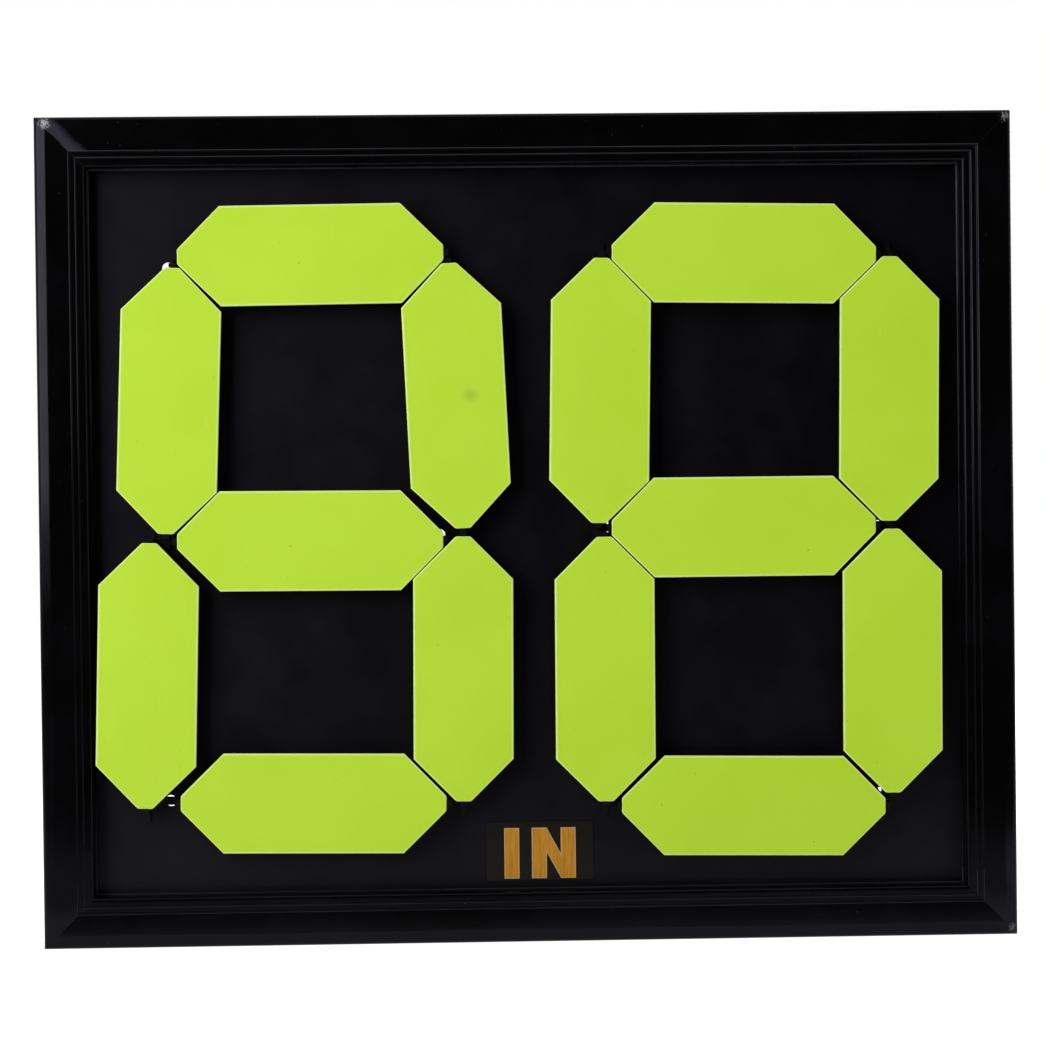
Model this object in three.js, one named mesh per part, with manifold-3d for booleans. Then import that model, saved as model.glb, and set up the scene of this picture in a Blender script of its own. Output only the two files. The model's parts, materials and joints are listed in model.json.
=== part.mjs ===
// A two-sided substitution board: two seven-segment digits of green flaps on the IN side, two of red
// flaps on the OUT side. Each flap turns over on a fixed steel wire, through a window in the panel.
// Millimetres. +X is right and +Z up as the IN side is read, +Y points to the OUT side.
// The origin is the middle of the frame's underside.
import * as THREE from "three";
import { mergeVertices } from "three/addons/utils/BufferGeometryUtils.js";
import Module from "manifold-3d";

const wasm = await Module();
wasm.setup();

// Frame
const board_width = 450;
const board_height = 382;
const rail_width = 23;
const lip_width = 4.3;
const bead_width = 2.9;
const band_slope = 0.6;
const band_step = 1.2;
const bead_step = 1.1;
const lip_round = 1.8;
const edge_round = 2.2;
const groove_depth = 6;
const groove_spare = 0.5;
const mitre_gap = 0.3;

// Panel
const panel_thickness = 5;
const hole_diameter = 5.6;
const window_gap = 0.9;
const window_land = 5.5;

// Flaps and the wires that they turn on
const flap_width = 46.2;
const flap_end_width = 6.8;
const flap_thickness = 3.2;
const flap_recess = 2.9;
const wire_diameter = 1.4;
const wire_grip = 1.4;

// Posts that hold the wires, and their feet on the panel
const post_width = 3.2;
const post_thickness = 1.7;
const post_head = 1.7;
const foot_thickness = 1.4;
const foot_under_flap = 4;
const foot_past_flap = 7;

// Room round the digits and between their flaps
const side_margin = 11.5;
const top_margin = 18.3;
const bottom_margin = 15.5;
const digit_space = 20.6;
const column_space = 5.75;
const row_space = 5.5;

// Nails
const nail_diameter = 2;
const nail_length = 30;
const nail_head_diameter = 4;
const nail_head_thickness = 1;
const nail_point = 3;

// Labels
const label_thickness = 0.6;
const label_margin = 8.2;
const label_rise = 3.7;
const label_shift = 4;
const label_headroom = 3.15;
const letter_rise = 1.1;
const letter_headroom = 2.8;
const letter_thickness = 0.4;
const letter_stroke = 7;
const letter_slant = 11.5;
const letter_space = 5.8;
const letter_cut = 5;
const letter_inner_cut = 1.2;
const wide_letter = 20.5;
const narrow_letter = 18;

// Clearances
const seat_gap = 0.3;
const running_gap = 0.3;
const turning_gap = 1.245;
const end_gap = 0.4;
const glue_gap = 0.1;
const overrun = 2;

// Both digits fill the board inside their margins. The flaps fill the digits.
const half_width = board_width / 2;
const half_height = board_height / 2;
const digit_width = half_width - rail_width - side_margin - digit_space / 2;
const digit_height = board_height - 2 * rail_width - top_margin - bottom_margin;
const digit_offset = (digit_space + digit_width) / 2;
const digit_drop = (top_margin - bottom_margin) / 2;
const column_offset = (digit_width - flap_width) / 2;
const row_offset = (digit_height - flap_width) / 2;
const level_length = 2 * (column_offset - column_space);
const upright_length = row_offset - row_space;
const flap_chamfer = (flap_width - flap_end_width) / 2;

// Two flaps share a window, so an edge-on flap just clears the face of the one behind it. That sets
// how far the wires stand off the panel, and so the depth of the board.
const panel_face = panel_thickness / 2;
const turning_radius = Math.hypot(flap_width / 2, flap_thickness / 2);
const axle_plane = (turning_radius + flap_thickness / 2 + turning_gap) / 2;
const axle_height = axle_plane - panel_face;
const half_depth = axle_plane + flap_thickness / 2 + flap_recess;
const bore_diameter = wire_diameter + 2 * running_gap;
const window_width = 2 * (Math.sqrt(turning_radius ** 2 - axle_height ** 2) + window_gap);
const window_chamfer = flap_chamfer - window_land;

// The flat band of a rail, the nails in the middle of the wood, and the labels under the post feet
const band_width = rail_width - lip_width - bead_width;
const nail_offset = (panel_face + seat_gap + half_depth) / 2;
const foot_height = bottom_margin + (flap_width + row_space) / 2 - foot_past_flap;
const label_height = foot_height - label_rise - label_headroom;
const letter_height = label_height - letter_rise - letter_headroom;

// Each flap hangs a little off its place, as shares of the flap's width to the right and up,
// and by a tilt in degrees, anticlockwise.
const hang_shares = {
  tens: {
    top: [0.029, 0.012],
    middle: [-0.006, -0.069],
    bottom: [-0.003, 0.078],
    upper_left: [0.055, -0.046],
    upper_right: [0.013, -0.023],
    lower_left: [-0.194, -0.012],
    lower_right: [0.056, 0.017],
  },
  units: {
    top: [0.014, -0.011],
    middle: [-0.015, 0.023],
    bottom: [0.057, -0.006],
    upper_left: [0.008, 0.014],
    upper_right: [0.009, 0.003],
    lower_left: [0.029, -0.003],
    lower_right: [0.018, 0.044],
  },
};
const hang_tilts = {
  tens: {
    top: 0.5, middle: -0.3, bottom: -0.8,
    upper_left: -2.1, upper_right: 2.4, lower_left: -1.6, lower_right: -0.5,
  },
  units: {
    top: -0.9, middle: 0, bottom: -0.9,
    upper_left: -1.2, upper_right: -0.8, lower_left: -0.2, lower_right: -0.3,
  },
};

// Where a flap stands in its digit: column, row and upright or level.
const flap_places = {
  top: { column: 0, row: 1, upright: false },
  middle: { column: 0, row: 0, upright: false },
  bottom: { column: 0, row: -1, upright: false },
  upper_left: { column: -1, row: 0.5, upright: true },
  upper_right: { column: 1, row: 0.5, upright: true },
  lower_left: { column: -1, row: -0.5, upright: true },
  lower_right: { column: 1, row: -0.5, upright: true },
};

// The drilled hole at each corner of a digit, as shares of the hole's diameter off the corner.
const hole_shares = {
  tens: [
    { column: -1, row: 1, off_shares: [0.32, -0.75] },
    { column: 1, row: 1, off_shares: [-0.32, -0.89] },
    { column: -1, row: 0, off_shares: [0.04, -0.32] },
    { column: 1, row: 0, off_shares: [-1.39, -0.25] },
    { column: -1, row: -1, off_shares: [0.04, 0.82] },
    { column: 1, row: -1, off_shares: [-0.04, 0.61] },
  ],
  units: [
    { column: -1, row: 1, off_shares: [0.46, -0.04] },
    { column: 1, row: 1, off_shares: [0.25, -0.18] },
    { column: -1, row: 0, off_shares: [0.54, 0.25] },
    { column: 1, row: 0, off_shares: [-0.39, 0.32] },
    { column: -1, row: -1, off_shares: [0.39, 0.25] },
    { column: 1, row: -1, off_shares: [-0.39, 1.18] },
  ],
};

const digit_centres = { tens: -digit_offset, units: digit_offset };

// Corner of a digit on the panel, column and row counted from the digit's centre.
function digit_point(digit, column, row) {
  return new THREE.Vector2(
    digit_centres[digit] + column * column_offset,
    row * row_offset - digit_drop,
  );
}

// Centre and direction of one flap, in the plane of the board.
function flap_place(digit, name) {
  const { column, row, upright } = flap_places[name];
  const [right_share, up_share] = hang_shares[digit][name];
  const centre = digit_point(digit, column, row);
  centre.x += right_share * flap_width;
  centre.y += up_share * flap_width;
  const tilt = THREE.MathUtils.degToRad(hang_tilts[digit][name]);
  return { centre, angle: (upright ? Math.PI / 2 : 0) + tilt };
}

function flap_length(name) {
  return flap_places[name].upright ? upright_length : level_length;
}

// The two sides of the board. On the OUT side left and right change places for the reader.
const sides = [
  { name: "in", sign: -1 },
  { name: "out", sign: 1 },
];

function read_digit(side, digit) {
  const seen_digit = (digit === "tens") === (side.sign < 0) ? "tens" : "units";
  return `${side.name}_${seen_digit}`;
}

function read_place(side, name) {
  if (side.sign < 0) {
    return name;
  }
  return name.includes("left") ? name.replace("left", "right") : name.replace("right", "left");
}

const materials = {
  frame: { color: 0x060606, roughness: 0.25, metalness: 0 },
  panel: { color: 0x15141a, roughness: 0.6, metalness: 0 },
  in_flap: { color: 0xb4d83b, roughness: 0.4, metalness: 0 },
  out_flap: { color: 0xc8201f, roughness: 0.4, metalness: 0 },
  pivot: { color: 0x0b0b0c, roughness: 0.5, metalness: 0.3 },
  steel: { color: 0x9a9a9c, roughness: 0.35, metalness: 1 },
  label: { color: 0x050505, roughness: 0.4, metalness: 0 },
  gold: { color: 0xb07c20, roughness: 0.35, metalness: 1 },
};

function mesh(name, geometry, look) {
  const part = new THREE.Mesh(geometry, new THREE.MeshStandardMaterial(materials[look]));
  part.name = name;
  return part;
}

// Conversions between a mesh and a solid that can be joined and cut.
function to_solid(geometry) {
  const bare = geometry.index ? geometry.toNonIndexed() : geometry.clone();
  bare.deleteAttribute("normal");
  bare.deleteAttribute("uv");
  const merged = mergeVertices(bare);
  return new wasm.Manifold(new wasm.Mesh({
    numProp: 3,
    vertProperties: new Float32Array(merged.attributes.position.array),
    triVerts: new Uint32Array(merged.index.array),
  }));
}

function to_geometry(solid) {
  const { vertProperties, triVerts } = solid.getMesh();
  const geometry = new THREE.BufferGeometry();
  geometry.setAttribute("position", new THREE.BufferAttribute(vertProperties, 3));
  geometry.setIndex(new THREE.BufferAttribute(triVerts, 1));
  geometry.computeVertexNormals();
  return geometry;
}

function box(low, high) {
  const size = high.clone().sub(low);
  return new THREE.BoxGeometry(size.x, size.y, size.z)
    .translate(low.x + size.x / 2, low.y + size.y / 2, low.z + size.z / 2);
}

function round_bar(diameter, length) {
  return new THREE.CylinderGeometry(diameter / 2, diameter / 2, length, 12).rotateZ(Math.PI / 2);
}

// Turns a shape drawn flat into a sheet that stands in the board's plane, half to each side of it.
function standing_sheet(shape, thickness) {
  return new THREE.ExtrudeGeometry(shape, { depth: thickness, bevelEnabled: false, curveSegments: 12 })
    .translate(0, 0, -thickness / 2)
    .rotateX(Math.PI / 2);
}

// Lays a piece that was made along X onto a flap's place, at a given depth in the board.
function lay_on(geometry, place, depth) {
  return geometry.rotateY(-place.angle).translate(place.centre.x, depth, place.centre.y);
}

// Octagon with its long sides along X and its corners cut at 45 degrees.
function octagon_points(length, width, chamfer) {
  const end = length / 2;
  const side = width / 2;
  return [
    [end, side - chamfer], [end - chamfer, side], [chamfer - end, side], [-end, side - chamfer],
    [-end, chamfer - side], [chamfer - end, -side], [end - chamfer, -side], [end, chamfer - side],
  ].map(([x, y]) => new THREE.Vector2(x, y));
}

// A flap is a flat octagon with a bore for its wire from end to end.
function make_flap(length) {
  const outline = new THREE.Shape(octagon_points(length, flap_width, flap_chamfer));
  const bore = to_solid(round_bar(bore_diameter, length + 2 * overrun));
  return to_solid(standing_sheet(outline, flap_thickness)).subtract(bore);
}

// The panel has one window behind each flap and one drilled hole at each corner of a digit.
function make_panel() {
  const reach = groove_depth - groove_spare - rail_width;
  const right = half_width + reach;
  const top = half_height + reach;
  const outline = new THREE.Shape([
    new THREE.Vector2(-right, -top), new THREE.Vector2(right, -top),
    new THREE.Vector2(right, top), new THREE.Vector2(-right, top),
  ]);
  const origin = new THREE.Vector2();
  for (const digit of Object.keys(digit_centres)) {
    for (const name of Object.keys(flap_places)) {
      const { centre, angle } = flap_place(digit, name);
      const window_length = flap_length(name) - 2 * window_land;
      const points = octagon_points(window_length, window_width, window_chamfer);
      outline.holes.push(new THREE.Path(points.map((p) => p.rotateAround(origin, angle).add(centre))));
    }
    for (const { column, row, off_shares } of hole_shares[digit]) {
      const centre = digit_point(digit, column, row);
      const x = centre.x + off_shares[0] * hole_diameter;
      const y = centre.y + off_shares[1] * hole_diameter;
      outline.holes.push(new THREE.Path().absarc(x, y, hole_diameter / 2, 0, 2 * Math.PI));
    }
  }
  return standing_sheet(outline, panel_thickness);
}

// Section of a rail: distance in from the outer face, and depth. The front half is mirrored behind.
function rail_section() {
  const bead_start = band_width + bead_width;
  const band_edge = half_depth - band_slope;
  const bead_face = band_edge - band_step;
  const lip_face = bead_face - bead_step;
  const groove_side = panel_face + seat_gap;
  const front = [
    [0, half_depth - edge_round],
    [edge_round * (1 - Math.SQRT1_2), half_depth - edge_round * (1 - Math.SQRT1_2)],
    [edge_round, half_depth],
    [band_width, band_edge],
    [band_width, bead_face],
    [bead_start, bead_face],
    [bead_start, lip_face],
    [rail_width - lip_round, lip_face],
    [rail_width - lip_round * (1 - Math.SQRT1_2), lip_face - lip_round * (1 - Math.SQRT1_2)],
    [rail_width, lip_face - lip_round],
    [rail_width, groove_side],
    [rail_width - groove_depth, groove_side],
  ];
  const back = front.map(([inward, depth]) => [inward, -depth]).reverse();
  return new THREE.Shape([...front, ...back].map(([x, y]) => new THREE.Vector2(x, y)));
}

// One rail with mitred ends, its outer face at a distance from the board's middle, turned to its side.
// Its section is drawn one long, and each point is then moved to the mitre at its end.
function make_rail(length, distance, turn) {
  const geometry = new THREE.ExtrudeGeometry(rail_section(), { depth: 1, bevelEnabled: false });
  const position = geometry.attributes.position;
  for (let i = 0; i < position.count; i += 1) {
    const inward = position.getX(i);
    const end = position.getZ(i) > 0 ? 1 : -1;
    const along = end * (length / 2 - inward - mitre_gap / 2);
    position.setXYZ(i, along, position.getY(i), distance - inward);
  }
  return to_solid(geometry.rotateY(turn));
}

// A nail, or with a gap the hole for it, pointing along +X from the outer face of a side rail.
function nail_geometry(gap, above) {
  const shank = nail_diameter / 2 + gap;
  const head = nail_head_diameter / 2 + gap;
  const under_head = nail_head_thickness + gap;
  const profile = [
    [0, -above],
    [head, -above],
    [head, under_head],
    [shank, under_head],
    [shank, nail_length - nail_point],
    [0, nail_length + gap],
  ].map(([radius, along]) => new THREE.Vector2(radius, along));
  return new THREE.LatheGeometry(profile, 12).rotateZ(-Math.PI / 2);
}

// Two nails go in at each end of both side rails, one to each side of the panel's groove.
const nail_places = [];
for (const [across, right] of [["left", -1], ["right", 1]]) {
  for (const [height, up] of [["top", 1], ["bottom", -1]]) {
    for (const side of sides) {
      nail_places.push({ name: `nail_${height}_${across}_${side.name}`, right, up, back: side.sign });
    }
  }
}

function place_nail({ right, up, back }, gap, above) {
  return nail_geometry(gap, above)
    .rotateZ(right > 0 ? Math.PI : 0)
    .translate(right * half_width, back * nail_offset, up * (half_height - rail_width / 2));
}

// How far a foot reaches from its flap's centre. A level flap's foot runs on to the feet of the
// upright flaps that meet it there.
function foot_reach(digit, name, end) {
  const { row, upright } = flap_places[name];
  const { centre, angle } = flap_place(digit, name);
  if (upright) {
    return upright_length / 2 + foot_past_flap;
  }
  const along = new THREE.Vector2(Math.cos(angle), Math.sin(angle)).multiplyScalar(end);
  const meets = Object.entries(flap_places)
    .filter(([, other]) => other.upright && other.column === end && Math.abs(other.row - row) < 1);
  const reaches = meets.map(([other_name, other]) => {
    const place = flap_place(digit, other_name);
    const half = Math.sign(row - other.row) * upright_length / 2;
    const tip = new THREE.Vector2(Math.cos(place.angle), Math.sin(place.angle))
      .multiplyScalar(half).add(place.centre);
    return tip.sub(centre).dot(along);
  });
  return Math.max(...reaches) + post_width / 2;
}

// The post just past a flap's end and its foot on the panel, laid along +X.
function post_boxes(side, end, reach) {
  const seat = panel_face + glue_gap;
  const pieces = [
    { from: end + end_gap, to: end + end_gap + post_thickness, height: axle_plane + post_head },
    { from: end - foot_under_flap, to: reach, height: panel_face + foot_thickness },
  ];
  return pieces.map(({ from, to, height }) => {
    const [near, far] = [seat * side.sign, height * side.sign].sort((a, b) => a - b);
    return box(new THREE.Vector3(from, near, -post_width / 2), new THREE.Vector3(to, far, post_width / 2));
  });
}

// All wires and posts of one digit, set firmly into each other.
function make_pivot_frame(side, digit) {
  const solids = [];
  for (const name of Object.keys(flap_places)) {
    const place = flap_place(digit, name);
    const length = flap_length(name);
    for (const end of [-1, 1]) {
      for (const piece of post_boxes(side, length / 2, foot_reach(digit, name, end))) {
        const turned = piece.rotateY(end < 0 ? Math.PI : 0);
        solids.push(to_solid(lay_on(turned, place, 0)));
      }
    }
    const wire = round_bar(wire_diameter, length + 2 * (end_gap + wire_grip));
    solids.push(to_solid(lay_on(wire, place, side.sign * axle_plane)));
  }
  return to_geometry(solids.reduce((joined, solid) => joined.add(solid)));
}

// Block letters, drawn from their lower left corner.
const letter_widths = {
  I: letter_stroke,
  N: wide_letter,
  O: narrow_letter,
  U: narrow_letter,
  T: narrow_letter,
};

function letter_shape(letter) {
  const w = letter_widths[letter];
  const h = letter_height;
  const s = letter_stroke;
  const c = letter_cut;
  const slant = letter_slant;
  const outlines = {
    I: [[0, 0], [w, 0], [w, h], [0, h]],
    N: [
      [0, 0], [s, 0], [s, h - slant], [w - s, 0], [w, 0],
      [w, h], [w - s, h], [w - s, slant], [s, h], [0, h],
    ],
    O: [[c, 0], [w - c, 0], [w, c], [w, h - c], [w - c, h], [c, h], [0, h - c], [0, c]],
    U: [[c, 0], [w - c, 0], [w, c], [w, h], [w - s, h], [w - s, s], [s, s], [s, h], [0, h], [0, c]],
    T: [
      [(w - s) / 2, 0], [(w + s) / 2, 0], [(w + s) / 2, h - s], [w, h - s],
      [w, h], [0, h], [0, h - s], [(w - s) / 2, h - s],
    ],
  };
  const shape = new THREE.Shape(outlines[letter].map(([x, y]) => new THREE.Vector2(x, y)));
  if (letter === "O") {
    const [x, y] = [w - s, h - s];
    const cut = letter_inner_cut;
    const inner = [
      [s + cut, s], [s, s + cut], [s, y - cut], [s + cut, y],
      [x - cut, y], [x, y - cut], [x, s + cut], [x - cut, s],
    ];
    shape.holes.push(new THREE.Path(inner.map((corner) => new THREE.Vector2(...corner))));
  }
  return shape;
}

// A label low on the panel, turned to its reader. The group's front is at the board's middle plane.
function make_label(side, word) {
  const widths = [...word].map((letter) => letter_widths[letter]);
  const text_width = widths.reduce((sum, w) => sum + w, 0) + letter_space * (word.length - 1);
  const label_width = text_width + 2 * label_margin;
  const low = rail_width + label_rise - half_height;
  const back = -(panel_face + glue_gap);
  const front = back - label_thickness;
  const plate = box(
    new THREE.Vector3(-label_width / 2, front, low),
    new THREE.Vector3(label_width / 2, back, low + label_height),
  );
  const group = new THREE.Group();
  group.add(mesh(`${side.name}_label`, plate, "label"));
  let start = -text_width / 2;
  for (const [index, letter] of [...word].entries()) {
    const piece = mesh(
      `${side.name}_letter_${letter.toLowerCase()}`,
      standing_sheet(letter_shape(letter), letter_thickness),
      "gold",
    );
    piece.position.set(
      start,
      front - glue_gap - letter_thickness / 2,
      low + letter_rise,
    );
    group.add(piece);
    start += widths[index] + letter_space;
  }
  group.rotation.z = side.sign < 0 ? 0 : Math.PI;
  group.position.x = -side.sign * label_shift;
  return group;
}

function make_frame() {
  const frame = new THREE.Group();
  const nail_holes = nail_places.map((place) => to_solid(place_nail(place, seat_gap, overrun)));
  const rails = {
    rail_top: make_rail(board_width, half_height, 0),
    rail_right: make_rail(board_height, half_width, Math.PI / 2),
    rail_bottom: make_rail(board_width, half_height, Math.PI),
    rail_left: make_rail(board_height, half_width, -Math.PI / 2),
  };
  for (const [name, rail] of Object.entries(rails)) {
    const drilled = nail_holes.reduce((solid, hole) => solid.subtract(hole), rail);
    frame.add(mesh(name, to_geometry(drilled), "frame"));
  }
  for (const place of nail_places) {
    frame.add(mesh(place.name, place_nail(place, 0, 0), "steel"));
  }
  frame.add(mesh("panel", make_panel(), "panel"));
  return frame;
}

function make_side(side) {
  const group = new THREE.Group();
  const level_flap = make_flap(level_length);
  const upright_flap = make_flap(upright_length);
  for (const digit of Object.keys(digit_centres)) {
    const digit_name = read_digit(side, digit);
    for (const name of Object.keys(flap_places)) {
      const place = flap_place(digit, name);
      const flap_name = `${digit_name}_${read_place(side, name)}`;
      const flap = flap_places[name].upright ? upright_flap : level_flap;
      const part = mesh(flap_name, to_geometry(flap), `${side.name}_flap`);
      part.rotation.y = -place.angle;
      part.position.set(place.centre.x, side.sign * axle_plane, place.centre.y);
      group.add(part);
    }
    group.add(mesh(`${digit_name}_pivot_frame`, make_pivot_frame(side, digit), "pivot"));
  }
  group.add(make_label(side, side.name.toUpperCase()));
  return group;
}

const board = new THREE.Group();
board.position.z = half_height;
board.add(make_frame());
for (const side of sides) {
  board.add(make_side(side));
}

export default board;
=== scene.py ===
import json
import math

import bmesh
import bpy
import numpy as np
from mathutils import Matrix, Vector


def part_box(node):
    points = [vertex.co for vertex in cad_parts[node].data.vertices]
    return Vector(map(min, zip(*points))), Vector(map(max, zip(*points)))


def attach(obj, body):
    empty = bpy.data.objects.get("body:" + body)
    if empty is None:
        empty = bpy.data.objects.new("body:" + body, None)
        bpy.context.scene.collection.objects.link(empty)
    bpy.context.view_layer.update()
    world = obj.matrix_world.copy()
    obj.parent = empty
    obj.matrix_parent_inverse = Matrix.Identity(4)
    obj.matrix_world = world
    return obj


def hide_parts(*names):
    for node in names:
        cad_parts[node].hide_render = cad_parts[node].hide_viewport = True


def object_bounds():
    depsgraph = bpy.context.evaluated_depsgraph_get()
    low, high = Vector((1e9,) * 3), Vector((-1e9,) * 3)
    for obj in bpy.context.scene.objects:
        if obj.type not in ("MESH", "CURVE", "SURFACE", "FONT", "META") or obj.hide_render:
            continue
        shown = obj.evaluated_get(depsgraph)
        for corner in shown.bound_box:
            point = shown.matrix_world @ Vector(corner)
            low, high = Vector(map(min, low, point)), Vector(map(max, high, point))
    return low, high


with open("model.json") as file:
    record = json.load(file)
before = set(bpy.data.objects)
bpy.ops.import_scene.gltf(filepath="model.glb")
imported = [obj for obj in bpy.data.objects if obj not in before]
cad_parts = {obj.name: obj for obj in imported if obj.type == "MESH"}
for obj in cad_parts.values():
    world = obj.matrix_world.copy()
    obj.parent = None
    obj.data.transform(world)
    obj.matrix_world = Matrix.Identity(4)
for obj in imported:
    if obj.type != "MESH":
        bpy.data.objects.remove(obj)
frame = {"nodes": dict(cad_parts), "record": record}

# A two-sided substitution board. Metres, +X right and +Z up as the IN side is read, the IN side faces -Y.
MM = 0.001
CAD_BOX = [list(corner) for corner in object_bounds()]
PANEL_HALF = (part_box("panel")[1].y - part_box("panel")[0].y) / 2 / MM
NAILS = [name for name in frame["nodes"] if name.startswith("nail_")]

# Sizes that the frame doesn't give, in millimetres. First the flaps: their round edges, the seam between
# their two layers, the groove for the wire, and how close to a flap's end a corner counts as its end
FLAP_ROUND = 0.55
FLAP_SEAM = 0.02
BORE_DIAMETER = 2.0
AT_END = 0.05

# The rails' section, from the outer face inward, and how the outer strip turns into the band: past the
# strip's end, and below the top
EDGE_ROUND = 2.2
OUTER_STRIP = 5.4
STRIP_FALL = 0.45
STRIP_TURN = [(-0.5, 0.10), (0.0, 0.02), (0.6, 0.0)]
BAND_END = 15.8
BAND_FALL = 0.6
BEAD_END = 18.7
FIRST_STEP = 1.2
SECOND_STEP = 1.1
FOOT_HOLLOW = 0.7
GROOVE_DEPTH = 6.0
GROOVE_GAP = 0.3
ARRIS_ROUND = 0.45
LIP_ROUND = 1.8

# The mitres: their gap, how far their edges are eased, and how strongly their eased ends take the painted
# highlight of the steps, from 0 to 1
MITRE_GAP = 0.02
MITRE_EASE = 0.22
MITRE_HIGHLIGHT = 0.4

# The nails: the head's thickness and dome, the radius of the shank and of the tip, the point's length,
# the share of the head's radius at which its dome starts, and the counts of the dome's rings and sides
NAIL_HEAD = 1.0
NAIL_DOME = 0.22
NAIL_SHANK = 1.0
NAIL_TIP = 0.2
NAIL_POINT = 3.0
NAIL_DOME_START = 0.15
NAIL_DOME_RINGS = 6
NAIL_SIDES = 32

# A nail's hole: the gap round the nail, and how far outside the rail the cut starts
HOLE_GAP = 0.3
HOLE_MOUTH = 1.0

# Pieces that keep their node's own solid: points closer than this are one, faces within the first angle
# of each other are one, edges sharper than the second are eased, by this much
SAME_POINT = 0.001
FLAT_WITHIN = 0.5
ARRIS_OVER = 35
PIVOT_EASE = 0.2
PANEL_EASE = 0.3

# Labels and letters: corners, round edges and pale rims, and the letters' strokes and cut corners
LABEL_CORNER = 1.2
LABEL_ROUND = 0.2
LABEL_RIM = 0.5
LETTER_ROUND = 0.12
LETTER_RIM = 0.45
LETTER_STROKE = 7.0
LETTER_SLANT = 11.5
LETTER_CUT = 5.0
LETTER_INNER_CUT = 1.2

# A thumb mark on one green flap, metres
SMUDGE_PLACE = (-0.0264, -0.0146, 0.2528)

# The camera of the photograph: place in metres, turn in degrees, lens in millimetres
CAMERA_PLACE = (-0.04956, -1.51375, 0.21476)
CAMERA_TURN = (89.1519, 0.6501, -1.8393)
CAMERA_LENS = 111.438

# Knocked corners of the frame: right, up, then how far in from the side and from the top or underside
# and the radius of the chips, in millimetres, and how pale they are. Then how softly a spot ends, in
# millimetres, and how rough the palest chips are
KNOCKS = [(-1, 1, 5.0, 3.0, 1.9, 0.62), (1, 1, 2.8, 3.0, 1.6, 0.36), (1, -1, 2.8, 3.2, 1.3, 0.2)]
SCUFF_SOFT = 0.7
SCUFF_ROUGH = 0.7

# Heights in metres between which the painted highlight along the steps goes from faint to full, and how
# strong the painted highlight on the bottom rail's steps is
HIGHLIGHT_FROM = 0.212
HIGHLIGHT_TO = 0.252
FOOT_RAIL_TOP = 0.03
FOOT_RAIL_HIGHLIGHT = 0.4
LEAST_HIGHLIGHT = 0.06

# A painted reflection on the lacquer of the top rail beside its left mitre, on the IN side, in millimetres
REFLECTION_START = 0.3
REFLECTION_FULL = 4.6
REFLECTION_END = 9.0

# Light: the world's level for diffuse surfaces, the power of a soft box in watts, its place as left, out
# from the board and up, its width and height, and the height that it points at, in metres
WORLD_LIGHT = 0.38
KEY_POWER = 20.5
SOFTBOX_PLACE = (1.05, 1.2, 0.76)
SOFTBOX_SIZE = (0.9, 1.2)
SOFTBOX_AIM = 0.3

# The floor: how far it reaches from the board, in metres, and how much it glows where it is seen
FLOOR_REACH = 12.0
FLOOR_GLOW = 0.72

# Cloths that only gloss sees, in front of each side of the board: their shade, and two corners
# as right, out from the board and up, in metres
CLOTHS = {
    "front": (0.0, (-3.0, 2.6, 0.01), (3.0, 2.6, 3.2)),
    "far_apron": (0.0, (-3.0, 0.35, 0.004), (3.0, 2.6, 0.004)),
    "near_apron": (0.8, (-3.0, 0.11, 0.004), (0.28, 0.35, 0.004)),
}


def linear(code):
    """Linear red, green, blue and 1 from an sRGB hex value."""
    parts = np.array([int(code[i:i + 2], 16) for i in (1, 3, 5)]) / 255.0
    low = parts / 12.92
    high = ((parts + 0.055) / 1.055) ** 2.4
    return (*np.where(parts <= 0.04045, low, high).tolist(), 1.0)


def add(tree, kind, sockets=None, **settings):
    """One node with its settings; a socket is given a value, or linked from another node's output."""
    made = tree.nodes.new(kind)
    for name, value in settings.items():
        setattr(made, name, value)
    for name, value in (sockets or {}).items():
        if isinstance(value, bpy.types.NodeSocket):
            tree.links.new(value, made.inputs[name])
        else:
            made.inputs[name].default_value = value
    return made


def start_material(name):
    """An empty material, its node tree and the place on the object."""
    material = bpy.data.materials.new(name)
    material.use_nodes = True
    material.node_tree.nodes.clear()
    return material, material.node_tree, add(material.node_tree, "ShaderNodeTexCoord").outputs["Object"]


def close_material(material, sockets):
    """The shader with its sockets, and the output."""
    shader = add(material.node_tree, "ShaderNodeBsdfPrincipled", sockets)
    add(material.node_tree, "ShaderNodeOutputMaterial", {"Surface": shader.outputs[0]})
    return material


def patches(tree, place, size_mm, cut, levels=(0.0, 1.0), detail=2.0, rough=0.5, stretch=(1, 1, 1)):
    """Soft patches about size_mm across: the first level under the lower cut of a noise, the second over
    the higher cut, and even between. stretch makes them longer along an axis."""
    scale = tuple(1.0 / (MM * size_mm * s) for s in stretch)
    spot = add(tree, "ShaderNodeMapping", {"Vector": place, "Scale": scale}).outputs[0]
    cloud = add(tree, "ShaderNodeTexNoise", {
        "Vector": spot, "Scale": 1.0, "Detail": detail, "Roughness": rough,
    }).outputs["Fac"]
    return add(tree, "ShaderNodeMapRange", {
        0: cloud, 1: cut[0], 2: cut[1], 3: levels[0], 4: levels[1],
    }, clamp=True).outputs[0]


def lay_over(tree, under, over, mask, strength=1.0):
    """One colour laid over another where the mask is 1, at a strength."""
    share = add(tree, "ShaderNodeMath", {0: mask, 1: strength}, operation="MULTIPLY").outputs[0]
    return add(tree, "ShaderNodeMix", {0: share, 6: under, 7: over}, data_type="RGBA").outputs[2]


def grain(tree, place, size_mm, depth_mm, strength=0.5):
    """The normal of a skin with fine grain of a size and depth."""
    spot = add(tree, "ShaderNodeMapping", {"Vector": place, "Scale": (1.0 / (MM * size_mm),) * 3}).outputs[0]
    height = add(tree, "ShaderNodeTexNoise", {"Vector": spot, "Scale": 1.0, "Detail": 2.0}).outputs["Fac"]
    return add(tree, "ShaderNodeBump", {
        "Height": height, "Distance": depth_mm * MM, "Strength": strength,
    }).outputs[0]


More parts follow.
